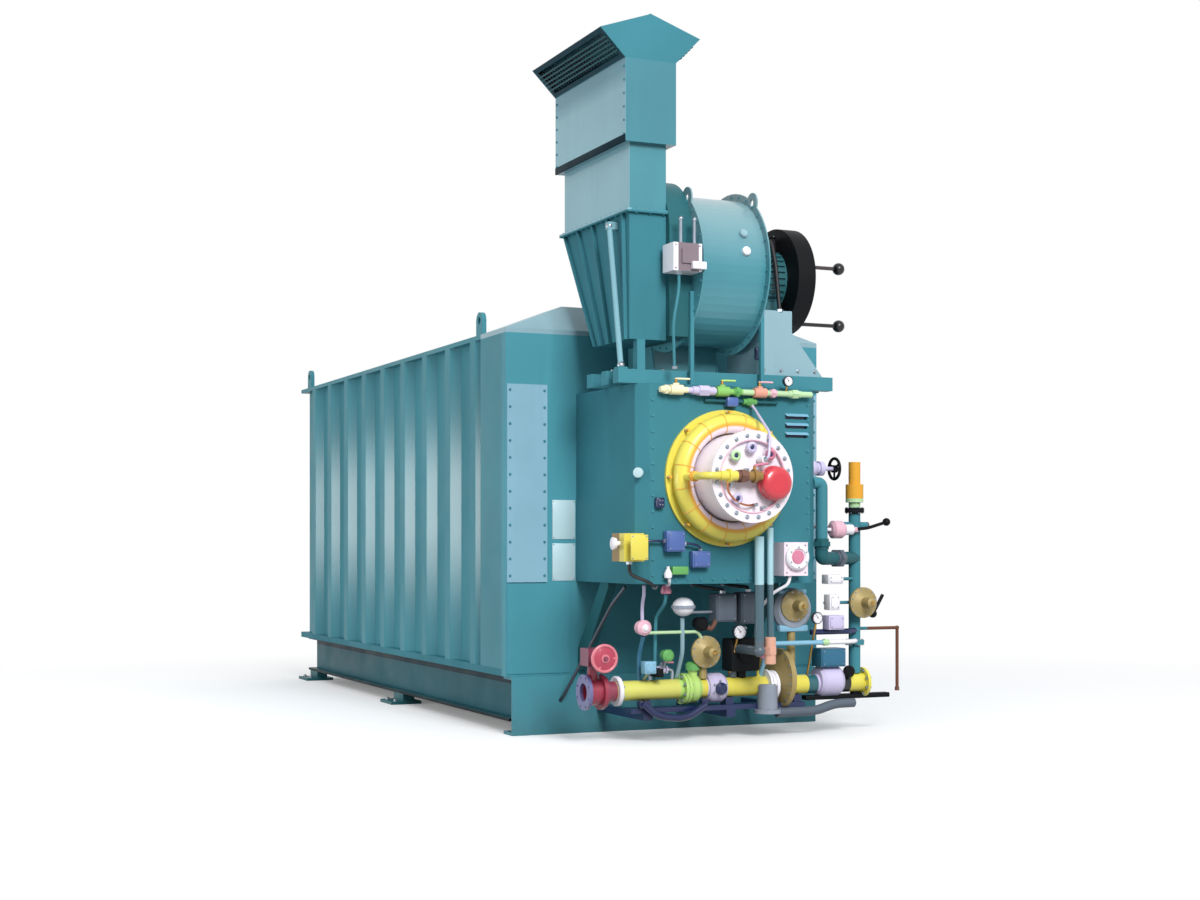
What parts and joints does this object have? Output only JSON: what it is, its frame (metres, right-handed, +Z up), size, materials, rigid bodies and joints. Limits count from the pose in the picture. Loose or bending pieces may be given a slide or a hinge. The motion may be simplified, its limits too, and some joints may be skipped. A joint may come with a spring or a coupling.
{
  "type": "industrial boiler",
  "caption": "Packaged watertube boiler on a steel skid: ribbed casing, windbox with a ring burner, fan with a hooded intake duct, and a gas train under the windbox.",
  "frame": {"origin": "on the floor, at the underside of the front base beam, on the casing's centre line", "axes": "+X to the right seen from the burner front, +Y towards the back along the casing, +Z up"},
  "size_m": [3.3182, 8.515, 5.765],
  "materials": {
    "teal_paint": "semi-gloss",
    "yellow_paint": "semi-gloss",
    "red_paint": "gloss",
    "black_paint": "satin",
    "pale_metal": "satin",
    "tan_casting": "satin",
    "grey_metal": "satin",
    "bronze_valve": "satin"
  },
  "bodies": {
    "boiler": {"skid_rails": "teal_paint", "skid_crossmembers": "teal_paint", "front_base_beam": "teal_paint", "foot_pads": "teal_paint", "casing_floor": "teal_paint", "side_wall_left": "teal_paint", "side_wall_right": "teal_paint", "front_side_panels": "teal_paint", "front_wall": "teal_paint", "front_panels": "teal_paint", "rear_wall": "teal_paint", "rear_access_door": "teal_paint", "roof": "teal_paint", "front_roof_cap": "teal_paint", "lifting_lugs": "teal_paint", "steam_outlet_nozzle": "teal_paint", "flue_collar": "teal_paint", "windbox": "teal_paint", "windbox_braces": "teal_paint", "fan_base_frame": "teal_paint", "fan_scroll": "teal_paint", "fan_inlet_box": "teal_paint", "fan_motor": "teal_paint", "motor_pedestal": "teal_paint", "duct_lower": "teal_paint", "duct_middle": "teal_paint", "duct_upper_box": "teal_paint", "intake_hood": "teal_paint", "gas_train_supports": "teal_paint", "right_riser": "teal_paint", "burner_ring": "yellow_paint", "burner_gas_pipe": "yellow_paint", "gas_main_pipe": "yellow_paint", "windbox_top_piping": "yellow_paint", "control_boxes": "yellow_paint", "red_end_cap": "red_paint", "gas_inlet_valve": "red_paint", "motor_end_ring": "black_paint", "balance_levers": "black_paint", "intake_screens": "black_paint", "burner_front_plate": "pale_metal", "damper_actuator": "pale_metal", "gas_regulators": "tan_casting", "side_valve": "grey_metal", "safety_valve_nozzles": "bronze_valve"},
    "gas_wheel": {"gas_valve_wheel": "red_paint"},
    "side_wheel": {"side_valve_wheel": "black_paint"}
  },
  "joints": [
    {"name": "gas_wheel_turn", "type": "hinge", "parent": "boiler", "child": "gas_wheel", "pos_m": [-1.11, -1.135, 0.7], "axis": [0, -1, 0], "continuous": true},
    {"name": "side_wheel_turn", "type": "hinge", "parent": "boiler", "child": "side_wheel", "pos_m": [1.13, -0.9, 2.23], "axis": [1, 0, 0], "continuous": true}
  ]
}
